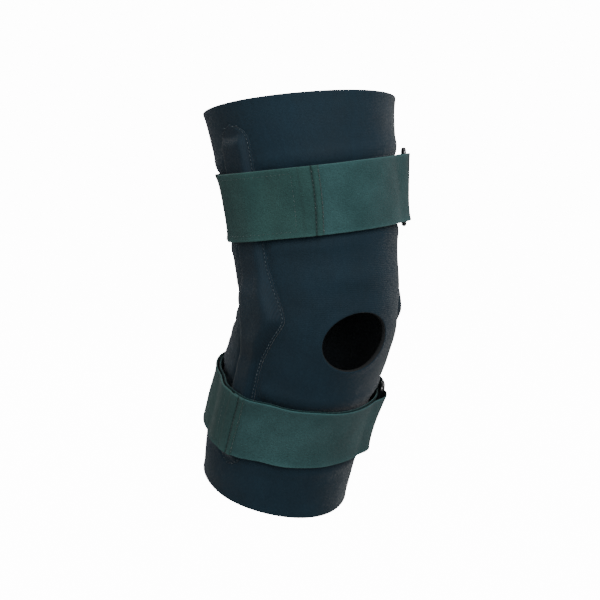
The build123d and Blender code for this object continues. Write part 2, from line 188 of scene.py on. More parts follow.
# ---- meshes
def mesh_object(name, points, faces, uvs, mats, face_mats=None, attributes=None):
    """A smooth-shaded object from points in millimetres, faces and their corners' UVs in metres."""
    mesh = bpy.data.meshes.new(name)
    mesh.from_pydata((np.asarray(points, float) * MM).tolist(), [], [list(f) for f in faces])
    layer = mesh.uv_layers.new(name="UVMap")
    layer.data.foreach_set("uv", (np.asarray(uvs, float).reshape(-1) * MM).astype(np.float32))
    for mat in mats:
        mesh.materials.append(mat)
    if face_mats is not None:
        mesh.polygons.foreach_set("material_index", np.asarray(face_mats, np.int32))
    for key, values in (attributes or {}).items():
        attribute = mesh.attributes.new(key, "FLOAT", "POINT")
        attribute.data.foreach_set("value", np.asarray(values, np.float32).reshape(-1))
    mesh.polygons.foreach_set("use_smooth", np.ones(len(faces), bool))
    mesh.update()
    mesh.validate()
    obj = bpy.data.objects.new(name, mesh)
    bpy.context.scene.collection.objects.link(obj)
    return obj


def unit(vectors):
    """The same directions at length one."""
    return vectors / np.linalg.norm(vectors, axis=-1, keepdims=True)


def grid_quads(n, m):
    """The four corners of each face of an n by m grid, as places in its flattened list."""
    for i in range(n - 1):
        for j in range(m - 1):
            yield i * m + j, i * m + j + 1, (i + 1) * m + j + 1, (i + 1) * m + j


def grid_border(n, m):
    """The border points of an n by m grid in order, as places in its flattened list."""
    border = list(range(m)) + [i * m + m - 1 for i in range(1, n)]
    border += [(n - 1) * m + j for j in range(m - 2, -1, -1)]
    return border + [i * m for i in range(n - 2, 0, -1)]


def wave(*terms):
    """A sum of sines, as (amplitude, phase) pairs."""
    return sum(amount * np.sin(phase) for amount, phase in terms)


# ---- sleeve
HEM_ROUND = 1.1              # how far the cut edges round out
AROUND = 256
ROWS = 172
UV_RADIUS = 66               # the cloth's pattern is drawn as if on a tube of this radius
PATCH_HEIGHT = 38            # half size of the patch of faces laid round the patella opening
PATCH_ANGLE = 41
STRAP_PRESS = 1.7            # how far a strap presses the sleeve in
STRAP_SWELL = 0.8            # how far the sleeve swells beside it


def strap_height(strap, x, y, edge=0.0):
    """Height of a strap's plane over a point of the limb, edge above its middle line."""
    return strap["level"] + edge + strap["roll"] * x + strap["pitch"] * y


def sleeve_relief(height, angle):
    """How far the soft sleeve stands in or out of its even shape."""
    a = np.radians(angle)
    x, y = limb_xy(height, angle)
    soft = wave(
        (0.34, height / 17 + 2 * a + 0.7),
        (0.26, height / 29 - 3 * a + 2.1),
        (0.20, height / 11 + 5 * a + 0.4),
    )
    # Creases behind the knee, then slack beside it and above the patella opening.
    back = np.exp(-(((np.abs(angle) - 180) / 58) ** 2))
    fold = height + 5.0 * np.sin(1.7 * a + 0.6) + 3.2 * np.sin(3.3 * a + 1.9)
    crease = -np.abs(np.cos(math.pi * (fold + 6) / 19.0)) ** 0.7 + 0.62
    soft = soft - 3.0 * crease * back * np.exp(-(((height + 3) / 36) ** 4))
    inside = np.exp(-(((angle - 58) / 26) ** 2)) + 0.8 * np.exp(-(((angle + 62) / 22) ** 2))
    slack = np.sin(math.pi * (height + 0.35 * angle) / 15.5)
    soft = soft + 0.55 * inside * slack * np.exp(-(((height + 4) / 30) ** 2))
    above = np.exp(-(((angle + 8) / 30) ** 2)) * np.exp(-(((height - 26) / 12) ** 2))
    soft = soft + 0.8 * above * np.sin(height / 3.4)
    for strap in STRAPS.values():
        off = np.abs(height - strap_height(strap, x, y)) - strap["half"]
        soft = soft - STRAP_PRESS * (1 - smooth((off + 2.5) / 6.0))
        soft = soft + STRAP_SWELL * np.exp(-(((off - 8.0) / 4.5) ** 2))
    # The sewn pockets keep the sleeve smooth under them and pull it in along their edges.
    front, rear = read_table(POCKET_OUTLINE, np.clip(height, -126, 146))
    beside = np.where(y < 0, -y - front, y - rear) - 2.6
    along = (1 - smooth((height - 144) / 6)) * (1 - smooth((-124 - height) / 6))
    soft = soft * (1 - 0.85 * along * (1 - smooth(beside / 6)))
    soft = soft - 0.35 * along * np.exp(-((beside / 2.2) ** 2))
    edge = np.minimum(SLEEVE_TOP - height, height - SLEEVE_BOTTOM)
    return soft * smooth(edge / 12) + 0.5 * np.exp(-((edge / 3.5) ** 2)) + wave(
        (0.5, 3 * a + 1.0), (0.3, 5 * a + 2.0)
    ) * np.exp(-edge / 14)


def sleeve_points(height, angle, lift):
    """Points of the sleeve in millimetres, lift outside its outer face."""
    x, y = limb_xy(height, angle, lift)
    return bent(x, y, height)


def opening_frame():
    """The patella opening's middle, across and up directions, square to the view through it."""
    x, y = limb_xy(PATELLA_HEIGHT, PATELLA_ANGLE, 10)
    t = smooth((PATELLA_HEIGHT + BEND_REACH) / (2 * BEND_REACH))
    lean = CALF_LEAN + (THIGH_LEAN - CALF_LEAN) * t
    spin = (
        Matrix.Rotation(math.radians(float(lean)), 3, "X")
        @ Matrix.Rotation(math.radians(PATELLA_ANGLE), 3, "Z")
        @ Matrix.Rotation(math.radians(-PATELLA_ROLL), 3, "Y")
    )
    across, up = (np.array(spin @ Vector(axis)) for axis in ((1, 0, 0), (0, 0, 1)))
    return bent(x, y, PATELLA_HEIGHT), across, up


def on_opening(turn):
    """The height and angle of points of the opening's edge, at turns round it in radians."""
    origin, across, up = opening_frame()
    target = np.stack([PATELLA_HALF[0] * np.cos(turn), PATELLA_HALF[1] * np.sin(turn)], -1)
    spot = np.stack([np.full(len(turn), PATELLA_HEIGHT), np.full(len(turn), PATELLA_ANGLE)], -1)

    def flat(p):
        offset = sleeve_points(p[:, 0], p[:, 1], 0.0) - origin
        return np.stack([offset @ across, offset @ up], -1)

    for _ in range(14):
        here = flat(spot)
        by_height = (flat(spot + [0.2, 0]) - here) / 0.2
        by_angle = (flat(spot + [0, 0.2]) - here) / 0.2
        jacobian = np.stack([by_height, by_angle], -1)
        spot = spot + np.linalg.solve(jacobian, (target - here)[..., None])[..., 0]
    return spot


def sleeve_layout():
    """The sleeve as one layer of height and angle points with its faces, and its open loops."""
    heights = np.linspace(SLEEVE_BOTTOM, SLEEVE_TOP, ROWS + 1)
    step = 360 / AROUND
    angles = -180 + step * np.arange(AROUND)
    grid = np.stack(np.meshgrid(heights, angles, indexing="ij"), -1).reshape(-1, 2)
    low, high = (
        int(np.argmin(np.abs(heights - (PATELLA_HEIGHT + d)))) for d in (-PATCH_HEIGHT, PATCH_HEIGHT)
    )
    left, right = (
        int(round((PATELLA_ANGLE + d + 180) / step)) for d in (-PATCH_ANGLE, PATCH_ANGLE)
    )
    faces = []
    for i in range(ROWS):
        for j in range(AROUND):
            if low <= i < high and left <= j < right:
                continue
            k = (j + 1) % AROUND
            faces.append((i * AROUND + j, i * AROUND + k, (i + 1) * AROUND + k, (i + 1) * AROUND + j))
    loop = [low * AROUND + j for j in range(left, right)]
    loop += [i * AROUND + right for i in range(low, high)]
    loop += [high * AROUND + j for j in range(right, left, -1)]
    loop += [i * AROUND + left for i in range(high, low, -1)]
    origin, across, up = opening_frame()
    offset = sleeve_points(grid[loop, 0], grid[loop, 1], 0.0) - origin
    turn = np.arctan2(offset @ up / PATELLA_HALF[1], offset @ across / PATELLA_HALF[0])
    even = np.unwrap(turn)
    inner = on_opening(0.7 * even + 0.3 * (even[0] + 2 * math.pi * np.arange(len(loop)) / len(loop)))
    points = [grid]
    last = loop
    total = len(grid)
    rings = 14
    for r in range(1, rings + 1):
        t = 1 - (1 - r / rings) ** 1.6
        points.append(grid[loop] * (1 - t) + inner * t)
        now = list(range(total, total + len(loop)))
        total += len(loop)
        for a in range(len(loop)):
            b = (a + 1) % len(loop)
            faces.append((last[a], last[b], now[b], now[a]))
        last = now
    top = [ROWS * AROUND + j for j in range(AROUND)]
    bottom = list(range(AROUND))
    return np.concatenate(points), faces, top, bottom, last


def build_sleeve(cloth, lining, foam):
    """One continuous neoprene tube with a wall, rounded cut edges and the patella opening."""
    spots, faces, top, bottom, hole = sleeve_layout()
    count = len(spots)
    height, angle = spots[:, 0], spots[:, 1]
    relief = sleeve_relief(height, angle)
    origin, across, up = opening_frame()
    level = sleeve_points(height, angle, 0.0) - origin
    flat = np.stack([level @ across / PATELLA_HALF[0], level @ up / PATELLA_HALF[1]], -1)
    away = np.linalg.norm(flat, axis=-1)
    facing = np.abs(angle - PATELLA_ANGLE) < 80
    near = np.where(facing, np.exp(-(((away - 1) / 0.16) ** 2)), 0.0)
    relief = relief * (1 - 0.8 * near) + 0.7 * near
    outer = sleeve_points(height, angle, relief)
    inner = sleeve_points(height, angle, relief * 0.6 - SLEEVE_WALL)
    points = [outer, inner]
    quads = list(faces) + [tuple(count + v for v in f[::-1]) for f in faces]
    kinds = [0] * len(faces) + [1] * len(faces)
    uv_points = np.stack([np.radians(angle) * UV_RADIUS, height], -1)
    uv = [uv_points, uv_points]
    total = 2 * count

    def rim(loop, push, flip):
        nonlocal total
        steps = 6
        ids = [loop]
        for s in range(1, steps):
            t = math.pi * s / steps
            blend = 0.5 - 0.5 * math.copysign(abs(math.cos(t)) ** 0.6, math.cos(t))
            out = math.sin(t) ** 0.6 * HEM_ROUND
            ring = outer[loop] * (1 - blend) + inner[loop] * blend + push * out
            points.append(ring)
            uv.append(uv_points[loop] + [0, SLEEVE_WALL * s / steps])
            ids.append(list(range(total, total + len(loop))))
            total += len(loop)
        ids.append([count + v for v in loop])
        for s in range(steps):
            for a in range(len(loop)):
                b = (a + 1) % len(loop)
                face = (ids[s][a], ids[s][b], ids[s + 1][b], ids[s + 1][a])
                quads.append(face[::-1] if flip else face)
                kinds.append(2 if 0 < s < steps - 1 else 0)

    rise = sleeve_points(height, angle, 0.0)
    up_dir = sleeve_points(height + 1, angle, 0.0) - rise
    up_dir[top] = rise[top] - sleeve_points(height[top] - 1, angle[top], 0.0)
    up_dir = unit(up_dir)
    rim(top, up_dir[top], False)
    rim(bottom, -up_dir[bottom], True)
    middle = outer[hole].mean(0)
    inward = middle - outer[hole]
    normal = unit(outer[hole] - inner[hole])
    inward -= (inward * normal).sum(-1, keepdims=True) * normal
    rim(hole, unit(inward), False)

    uvs = np.concatenate(uv)
    corner = np.array(quads)
    corner_uv = uvs[corner]
    wide = UV_RADIUS * 2 * math.pi
    crossing = corner_uv[..., 0].max(1) - corner_uv[..., 0].min(1) > wide / 2
    corner_uv[..., 0] += np.where(crossing[:, None] & (corner_uv[..., 0] < 0), wide, 0)
    obj = mesh_object(
        "sleeve", np.concatenate(points), quads, corner_uv, (cloth, lining, foam), kinds
    )
    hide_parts("sleeve_thigh_section", "sleeve_knee_section", "sleeve_calf_section")
    return obj


# ---- stitches
def stitch_mesh(name, lines, mat, length=2.3, gap=1.0, radius=0.24):
    """Thread along lines of (points, outward normals): short bowed stitches that dip at their ends."""
    points, faces, uvs = [], [], []
    sides, rings = 6, 5
    for line, normals in lines:
        run = np.concatenate([[0], np.cumsum(np.linalg.norm(np.diff(line, axis=0), axis=1))])
        count = max(int(run[-1] // (length + gap)), 1)
        pitch = run[-1] / count
        for k in range(count):
            at = k * pitch + np.linspace(0, 1, rings) * length * pitch / (length + gap)
            mid = np.stack([np.interp(at, run, line[:, c]) for c in range(3)], -1)
            out = unit(np.stack([np.interp(at, run, normals[:, c]) for c in range(3)], -1))
            bow = np.sin(np.linspace(0, math.pi, rings))
            mid = mid + out * (radius * (1.25 * bow - 0.75))[:, None]
            ahead = unit(np.gradient(mid, axis=0))
            side = np.cross(ahead, out)
            fat = radius * (0.55 + 0.45 * bow)
            base = len(points)
            for r in range(rings):
                for s in range(sides):
                    turn = 2 * math.pi * s / sides
                    points.append(mid[r] + fat[r] * (math.cos(turn) * side[r] + math.sin(turn) * out[r]))
                    if r < rings - 1:
                        n = (s + 1) % sides
                        a = base + r * sides
                        faces.append((a + s, a + n, a + sides + n, a + sides + s))
                        v = at[r], at[r + 1]
                        uvs += [(s, v[0]), (s + 1, v[0]), (s + 1, v[1]), (s, v[1])]
            faces.append(tuple(base + s for s in range(sides))[::-1])
            uvs += [(s, at[0]) for s in range(sides)]
            last = base + (rings - 1) * sides
            faces.append(tuple(last + s for s in range(sides)))
            uvs += [(s, at[-1]) for s in range(sides)]
    return mesh_object(name, points, faces, uvs, (mat,))


# ---- pockets
FLANGE = 2.0                 # sewn edge of the pocket outside its raised part
FLANGE_THICK = 1.0
STITCH_PLACE = 1.42          # the side seams, in the pocket's u


def pocket_surface(height, u):
    """The pocket's outer face, at heights and at u from -1 at its front edge to 1 at its rear."""
    front, back = read_table(POCKET_OUTLINE, height)
    over = 1 - smooth((np.abs(height) - ARM_STRAIGHT) / (ARM_JOGGLE_END - ARM_STRAIGHT))
    lift = POCKET_ARM_LIFT + (POCKET_HINGE_LIFT - POCKET_ARM_LIFT) * over
    rise = (1 - smooth((height - UPPER_ARM_LENGTH - 9) / 9)) * (
        1 - smooth((-height - LOWER_ARM_LENGTH - 9) / 9)
    )
    reach = np.where(u < 0, front, back)
    inside = np.clip(np.abs(u), 0, 1)
    beyond = np.maximum(np.abs(u) - 1, 0) * FLANGE
    y = np.sign(u) * (inside * reach + beyond)
    base = side_x(height, y) + 0.1
    raised = flank_x(height) + lift
    soft = wave((0.22, height / 9 + 1.0), (0.16, height / 4.7 + 3 * u), (0.12, height / 15 - 2 * u))
    arch = (1 - inside**8) * rise
    sewn = FLANGE_THICK + (POCKET_SKIN - FLANGE_THICK) * (1 - smooth((np.abs(u) - 0.9) / 0.1))
    dimple = 0.28 * np.exp(-(((np.abs(u) - 1.35) / 0.3) ** 2))
    x = base + (raised - base) * arch + sewn + soft * arch - dimple
    return x, y


def build_pocket(side, cloth, thread):
    """A hinge pocket: one strip of cloth, raised over the hinge and its arms and sewn round."""
    sign = 1 if side == "medial" else -1
    heights = np.concatenate([
        np.linspace(-128, -123, 9)[:-1], np.linspace(-123, -112, 8)[:-1],
        np.linspace(-112, 136, 150)[:-1], np.linspace(136, 143.5, 8)[:-1],
        np.linspace(143.5, 148, 9),
    ])
    across = np.concatenate([
        [-2.0, -1.93, -1.75, -1.5, -1.25], np.linspace(-1.08, -0.86, 6),
        np.linspace(-0.8, 0.8, 17), np.linspace(0.86, 1.08, 6), [1.25, 1.5, 1.75, 1.93, 2.0],
    ])
    grid_h, grid_u = np.meshgrid(heights, across, indexing="ij")
    x, y = pocket_surface(grid_h, grid_u)
    edge = np.minimum(heights - heights[0], heights[-1] - heights)
    shrink = np.sqrt(np.clip(edge / 2.2, 0.0, 1))[:, None]
    y = y * (0.15 + 0.85 * shrink)
    base = side_x(grid_h, y) + 0.1
    tip = smooth(edge / 1.4)[:, None]
    rim = np.sqrt(np.clip((2.0 - np.abs(grid_u)) / 0.35, 0, 1))
    x = base + (x - base) * (0.35 + 0.65 * tip) * (0.35 + 0.65 * rim)
    outer = bent(sign * x, y, grid_h)
    inner_x = np.maximum(base - 0.4, x - 1.2)
    inner = bent(sign * inner_x, y, grid_h)
    n, m = grid_h.shape
    points = np.concatenate([outer.reshape(-1, 3), inner.reshape(-1, 3)])
    flat_uv = np.stack([y.reshape(-1), grid_h.reshape(-1)], -1)
    faces = []
    for a, b, c, d in grid_quads(n, m):
        faces += [(a, b, c, d), (n * m + d, n * m + c, n * m + b, n * m + a)]
    border = grid_border(n, m)
    for k, a in enumerate(border):
        b = border[(k + 1) % len(border)]
        faces.append((b, a, n * m + a, n * m + b))
    if sign < 0:
        faces = [f[::-1] for f in faces]
    uv = np.concatenate([flat_uv, flat_uv])[np.array(faces)]
    wear = np.exp(-(((np.abs(grid_u) - 0.9) / 0.14) ** 2)) * 0.7
    obj = mesh_object(
        f"{side}_pocket", points, faces, uv, (cloth,), None,
        {"wear": np.concatenate([wear.reshape(-1), 0 * wear.reshape(-1)])},
    )
    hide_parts(*[f"{side}_pocket_{part}_section" for part in ("thigh", "knee", "calf")])

    lines = []
    for end in (-1, 1):
        h = np.linspace(-124.2, 143.6, 400)
        sx, sy = pocket_surface(h, np.full(len(h), end * STITCH_PLACE))
        line = bent(sign * (sx + 0.1), sy, h)
        out = np.tile([float(sign), 0.0, 0.0], (len(h), 1))
        lines.append((line, out))
    for h_end, turn in ((-125.6, 1), (145.6, 1)):
        front, back = read_table(POCKET_OUTLINE, np.array([h_end + (1.4 if h_end < 0 else -2.0)]))
        sy = np.linspace(-front[0] - 0.5, back[0] + 0.5, 30)
        h = np.full(30, h_end)
        sx = side_x(h, sy) + FLANGE_THICK
        line = bent(sign * (sx + 0.1), sy, h)
        lines.append((line, np.tile([float(sign), 0.0, 0.0], (30, 1))))
    stitches = stitch_mesh(f"{side}_pocket_stitches", lines, thread, 2.1, 1.1, 0.26)
    return obj, stitches


# ---- straps
PATH_STEP = 2.0
EDGE_ROUND = 0.8
LAP = 9.8                    # how far the tab is sewn over the strap, in degrees
GROOVES = ((5.2, 1.0), (9.3, 0.4))   # the lap's stitch rows: place from the seam, and depth
TAB_STITCH_INSET = 4.6
WEBBING_SEWN = (1.6, 14)     # the webbing's cross seams, in degrees before its start
STRAP_CENTRE = np.array([0.0, 5.0])  # the straps' ripples stand out from here


def strap_point(strap, edge, angle, lift):
    """A point on the strap's plane, edge above its middle line and lift outside the sleeve."""
    height = strap["level"] + edge
    x, y = limb_xy(height, angle, lift)
    height = strap_height(strap, x, y, edge)
    off_pocket = abs(limb_xy(height, angle)[1]) - BUMP_FLAT
    rise = STRAP_BUMP * (1 - smooth(off_pocket / (BUMP_REACH - BUMP_FLAT)))
    x, y = limb_xy(height, angle, lift + rise)
    return np.array([x, y, strap_height(strap, x, y, edge)])


def ring_axes(strap):
    """The ring's middle, and its directions along the strap, along the bars and outward."""
    angle = strap["ring"]
    along = strap_point(strap, 0, angle + 4, 0) - strap_point(strap, 0, angle - 4, 0)
    up = strap_point(strap, 20, angle, 0) - strap_point(strap, -20, angle, 0)
    along /= np.linalg.norm(along)
    out = np.cross(along, up)
    out /= np.linalg.norm(out)
    return strap_point(strap, 0, angle, RING_LIFT), along, np.cross(out, along), out


def bar_point(strap, edge, side):
    """Where the front (-1) or rear (+1) bar crosses the plane of one strap edge."""
    centre, along, across, _ = ring_axes(strap)
    start = centre + along * (side * RING_BAR_SPACING / 2)
    wanted = strap["level"] + edge - start[2] + strap["roll"] * start[0] + strap["pitch"] * start[1]
    rate = across[2] - strap["roll"] * across[0] - strap["pitch"] * across[1]
    return start + across * (wanted / rate)


def fold_points(strap, edge, side, radius):
    """Half a turn round one bar, from its underside to its top."""
    _, along, _, out = ring_axes(strap)
    centre = bar_point(strap, edge, side)
    points = []
    for turn in np.radians([15, 32, 48, 64, 80, 96, 112, 128, 145, 165]):
        p = centre - along * (side * radius * math.sin(turn)) - out * (radius * math.cos(turn))
        p[2] = strap_height(strap, p[0], p[1], edge)
        points.append(p)
    return points


def run_points(strap, edge, start, end, lift_start, lift_end, ease=1.0, count=None):
    """Points round the limb from one angle to another, easing between two lifts."""
    count = count or max(round(abs(end - start) / PATH_STEP), 3)
    points = []
    for step in range(count + 1):
        angle = start + (end - start) * step / count
        t = smooth(abs(angle - start) / ease)
        points.append(strap_point(strap, edge, angle, lift_start + (lift_end - lift_start) * t))
    return points


def folded_path(strap, edge, side, start, end, thick, room):
    """A band's middle line: round the limb, under one bar of the ring and back on itself."""
    radius = RING_WIRE_RADIUS + room + thick / 2
    bar = bar_point(strap, edge, side)
    half, front, _, centre, _ = read_table(LIMB, bar[2])
    bar_angle = math.degrees(math.atan2(bar[0] / half, (centre - bar[1]) / front))
    under = STRAP_GAP + thick / 2
    over = OVER_LIFT + thick / 2
    near_bar = bar_angle + side * 3
    top = RING_LIFT + radius - 0.2
    under_count = round(abs(strap["ring"] - start) / PATH_STEP)
    over_count = round(abs(strap["ring"] - end) / PATH_STEP)
    path = run_points(strap, edge, start, near_bar, under, under, count=under_count)
    path += fold_points(strap, edge, side, radius)
    path += run_points(strap, edge, near_bar + side, end, top, over, 16, over_count)
    return np.array(path)


def refine(path, times=3, rounds=4):
    """A smooth line through the points, with several points for each one given."""
    n = len(path)
    at = np.linspace(0, n - 1, (n - 1) * times + 1)
    i = np.clip(at.astype(int), 0, n - 2)
    t = (at - i)[:, None]
    slope = np.gradient(path, axis=0)
    fine = (
        (2 * t**3 - 3 * t**2 + 1) * path[i]
        + (t**3 - 2 * t**2 + t) * slope[i]
        + (3 * t**2 - 2 * t**3) * path[i + 1]
        + (t**3 - t**2) * slope[i + 1]
    )
    for _ in range(rounds):
        fine[1:-1] = (fine[:-2] + 2 * fine[1:-1] + fine[2:]) / 4
    return fine


def band_edges(half):
    """Places across a band, close together at its rounded edges."""
    near = half - np.array([0, 0.1, 0.3, 0.55, 0.8, 1.4, 2.4, 4.0, 6.5])
    inner = np.linspace(-near[-1], near[-1], 9)[1:-1]
    return np.concatenate([-near, inner, near[::-1]])


def cloth_wave(points, edge, half):
    """How far a strap's cloth stands off its even line, the same for every layer at a place."""
    turn = np.arctan2(points[..., 0], -points[..., 1])
    lip = np.abs(edge / half) ** 5
    quiet = wave((0.22, 7 * turn + edge / 11), (0.18, 11 * turn - edge / 8 + 1.3))
    flare = 1.0 + wave((0.5, 5 * turn + np.sign(edge) * 0.9), (0.3, 9 * turn + 2.0))
    return quiet + lip * flare


def rounded(distance):
    """The share of a band's thickness that is left at a distance from its rounded edge."""
    return np.sqrt(np.clip(1 - (1 - np.clip(distance / EDGE_ROUND, 0, 1)) ** 2, 0.02, 1))


def band_mesh(
    name, strap, path_at, half, thick, mats, corner=0.0, start_corner=0.0, inset=0.0, painted_shade_at=None
):
    """A closed strip of cloth. path_at gives its middle line at a place across it."""
    edges = band_edges(half - inset)
    lines = np.stack([path_at(e) for e in edges], 1)
    run = np.linalg.norm(np.diff(lines[:, len(edges) // 2], axis=0), axis=1)
    run = np.concatenate([[0], np.cumsum(run)])
    left = run[-1] - run
    if corner or start_corner:
        scale = np.ones(len(run))
        for gone, size in ((left, corner), (run, start_corner)):
            if size:
                d = np.clip(size - gone, 0, size)
                scale = np.minimum(scale, 1 - (size - np.sqrt(size**2 - d**2 + 1e-9)) / half)
        middle = lines[:, len(edges) // 2][:, None]
        lines = middle + (lines - middle) * scale[:, None, None]
    spread = np.broadcast_to(edges[None], lines.shape[:2])
    radial = unit(lines[..., :2] - STRAP_CENTRE)
    lines[..., :2] += radial * cloth_wave(lines, spread, half)[..., None]
    d_run = np.gradient(lines, axis=0)
    d_edge = np.gradient(lines, axis=1)
    normal = np.cross(d_run, d_edge)
    normal /= np.linalg.norm(normal, axis=-1, keepdims=True) + 1e-12
    if (normal[3, len(edges) // 2, :2] * radial[3, len(edges) // 2]).sum() < 0:
        normal = -normal
    to_edge = half - inset - np.abs(edges)
    to_end = np.minimum(run, left)
    fat = (thick / 2) * rounded(to_edge)[None, :] * rounded(to_end)[:, None]
    outer = turned(lines + normal * fat[..., None], strap["lean"])
    inner = turned(lines - normal * fat[..., None], strap["lean"])
    n, m = lines.shape[:2]
    points = np.concatenate([outer.reshape(-1, 3), inner.reshape(-1, 3)])
    faces = []
    for a, b, c, d in grid_quads(n, m):
        faces += [(a, d, c, b), (n * m + a, n * m + b, n * m + c, n * m + d)]
    border = grid_border(n, m)
    for k, a in enumerate(border):
        b = border[(k + 1) % len(border)]
        faces.append((a, b, n * m + b, n * m + a))
    first = outer[4, m // 2] - outer[3, m // 2]
    sideways = outer[3, m // 2 + 1] - outer[3, m // 2]
    outward = turned(np.append(radial[3, m // 2], 0.0), strap["lean"])
    if np.dot(np.cross(sideways, first), outward) < 0:
        faces = [f[::-1] for f in faces]
    flat = np.stack([np.broadcast_to(run[:, None], (n, m)), spread], -1).reshape(-1, 2)
    uv = np.concatenate([flat, flat])[np.array(faces)]
    wear = np.maximum(
        np.exp(-((half - inset - np.abs(spread)) / 1.3)), np.exp(-to_end / 1.3)[:, None]
    )
    wear = wear.reshape(-1)
    # The band's painted shade along its middle line, kept as the dark attribute.
    dark = np.zeros(n) if painted_shade_at is None else painted_shade_at(lines[:, m // 2])
    dark = np.repeat(dark, m)
    kinds = np.zeros(len(faces), int)
    kinds[1:2 * (n - 1) * (m - 1):2] = len(mats) - 1
    obj = mesh_object(
        name, points, faces, uv, mats, kinds,
        {"wear": np.concatenate([wear, wear]), "dark": np.concatenate([dark, dark])},
    )
    return obj, (2 * (half - inset) * MM, float(run[-1]) * MM)


def layer_path(strap, start, end, lift_at):
    """Middle lines of a plain layer whose lift is a function of the angle."""
    def path_at(edge):
        count = round(abs(end - start) / 0.5)
        angles = np.linspace(start, end, count + 1)
        return np.array([strap_point(strap, edge, a, lift_at(a)) for a in angles])
    return path_at


def strap_line(strap, angle_or_edge, lift, along=None, count=60, inset=2.2):
    """A stitch line across a strap at one angle, or along it at one edge, with its normals."""
    if along is None:
        reach = strap["half"] - inset
        spots = [(e, angle_or_edge) for e in np.linspace(-reach, reach, count)]
    else:
        spots = [(angle_or_edge, a) for a in np.linspace(along[0], along[1], count)]
    points = np.array([strap_point(strap, e, a, lift) for e, a in spots])
    radial = unit(points[:, :2] - STRAP_CENTRE)
    edge = np.array([e for e, _ in spots])
    points[:, :2] += radial * cloth_wave(points, edge, strap["half"])[:, None]
    normals = np.concatenate([radial, np.zeros((len(points), 1))], 1)
    return turned(points, strap["lean"]), turned(normals, strap["lean"])


def build_strap(name, strap, mats):
    """A wrap strap with its tab, hook patch, webbing loop and stitching."""
    half = strap["half"]
    seam, end = strap["seam"], strap["end"]
    root = seam + LAP
    body, tab_body = name, f"{name}_tab"
    start = STRAP_START - 360
    bar = bar_point(strap, 0, -1)

    base, base_flat = band_mesh(
        f"{name}_wrap_strap", strap,
        lambda e: refine(folded_path(strap, e, -1, start, seam, STRAP_THICK, STRAP_LOOP_ROOM)),
        # The under-layer's outward faces get a darker copy of the loop cloth: painted shade.
        half, STRAP_THICK, (mats["strap_painted_shade"], mats["strap"]),
        # Painted shade: darker round the fold at the ring's bar.
        painted_shade_at=lambda p: np.exp(-((np.linalg.norm(p - bar, axis=1) / 7.5) ** 4)),
    )
    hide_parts(f"{name}_strap")
    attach(base, body)

    lapped = OVER_LIFT + STRAP_THICK + 0.12 + TAB_THICK / 2
    plain = TAB_LIFT + TAB_THICK / 2

    def pressed(angle):
        return sum(d * np.exp(-(((angle - seam - at) / 0.75) ** 2)) for at, d in GROOVES)

    def tab_lift(angle):
        step = plain + (lapped - plain) * (1 - smooth((seam - 0.4 - angle) / 3.2))
        return step - 0.9 * pressed(angle) - 0.7 * smooth((angle - root + 1.6) / 1.6)

    # Painted shade in the lap's pressed stitch grooves.
    def tab_groove_shade(line):
        angle = np.linspace(root, end, len(line))
        return np.clip(pressed(angle), 0, 1)

    tab, tab_flat = band_mesh(
        f"{name}_pull_tab_cloth", strap,
        layer_path(strap, root, end, tab_lift), half, TAB_THICK, (mats["tab"],), 5.0,
        painted_shade_at=tab_groove_shade,
    )
    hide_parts(f"{name}_pull_tab")
    hook, hook_flat = band_mesh(
        f"{name}_hook_tape", strap,
        layer_path(strap, seam - HOOK_INSET, end + 3.0, lambda a: HOOK_LIFT + HOOK_THICK / 2),
        half, HOOK_THICK, (mats["hook"],), 6.0, 6.0, 3.0,
    )
    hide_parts(f"{name}_hook_patch")

    top = lapped + TAB_THICK / 2
    sewn_rows = [strap_line(strap, seam + at, top - 0.85 * d) for at, d in GROOVES]
    lap_rows = stitch_mesh(f"{name}_lap_stitches", sewn_rows, mats["thread"], 2.4, 0.9, 0.27)
    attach(lap_rows, body)
    out = plain + TAB_THICK / 2
    run = (seam - HOOK_INSET - 1.0, end + 4.5)
    reach = half - TAB_STITCH_INSET
    box = [strap_line(strap, edge, out, run, 160) for edge in (reach, -reach)]
    box += [strap_line(strap, at, out, count=50, inset=TAB_STITCH_INSET) for at in run]
    tab_rows = stitch_mesh(f"{name}_tab_stitches", box, mats["tab_thread"], 2.4, 1.0, 0.16)

    pivot = turned(strap_point(strap, 0, seam - 0.6, plain), strap["lean"]) * MM
    beyond = turned(strap_point(strap, 0, seam - 9.0, plain), strap["lean"]) * MM
    for piece in (tab, hook, tab_rows):
        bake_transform(piece)

    chafe, chafe_flat = band_mesh(
        f"{name}_ring_webbing", strap,
        lambda e: refine(
            folded_path(strap, e, 1, CHAFE_START, CHAFE_START, CHAFE_THICK, CHAFE_LOOP_ROOM)
        ),
        CHAFE_HALF_WIDTH, CHAFE_THICK, (mats["webbing"],),
    )
    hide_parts(f"{name}_ring_chafe")
    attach(chafe, body)
    over = OVER_LIFT + CHAFE_THICK
    wide = CHAFE_HALF_WIDTH - 2.5
    seams = tuple(CHAFE_START - back for back in WEBBING_SEWN)
    narrow = {**strap, "half": CHAFE_HALF_WIDTH}
    sewn = [strap_line(strap, edge, over, seams, 40) for edge in (-wide, wide)]
    sewn += [strap_line(narrow, angle, over) for angle in seams]
    box_rows = stitch_mesh(f"{name}_webbing_stitches", sewn, mats["thread"], 2.4, 0.9, 0.27)
    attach(box_rows, body)


# ---- materials
def srgb(r, g, b):
    """A linear colour from screen values of 0 to 255."""
    return tuple(
        ((c / 255 + 0.055) / 1.055) ** 2.4 if c > 10 else c / 255 / 12.92 for c in (r, g, b)
    ) + (1.0,)


def scaled(colour, factor):
    """A colour made darker or lighter by a factor, up to white."""
    return tuple(min(c * factor, 1) for c in colour[:3]) + (1.0,)


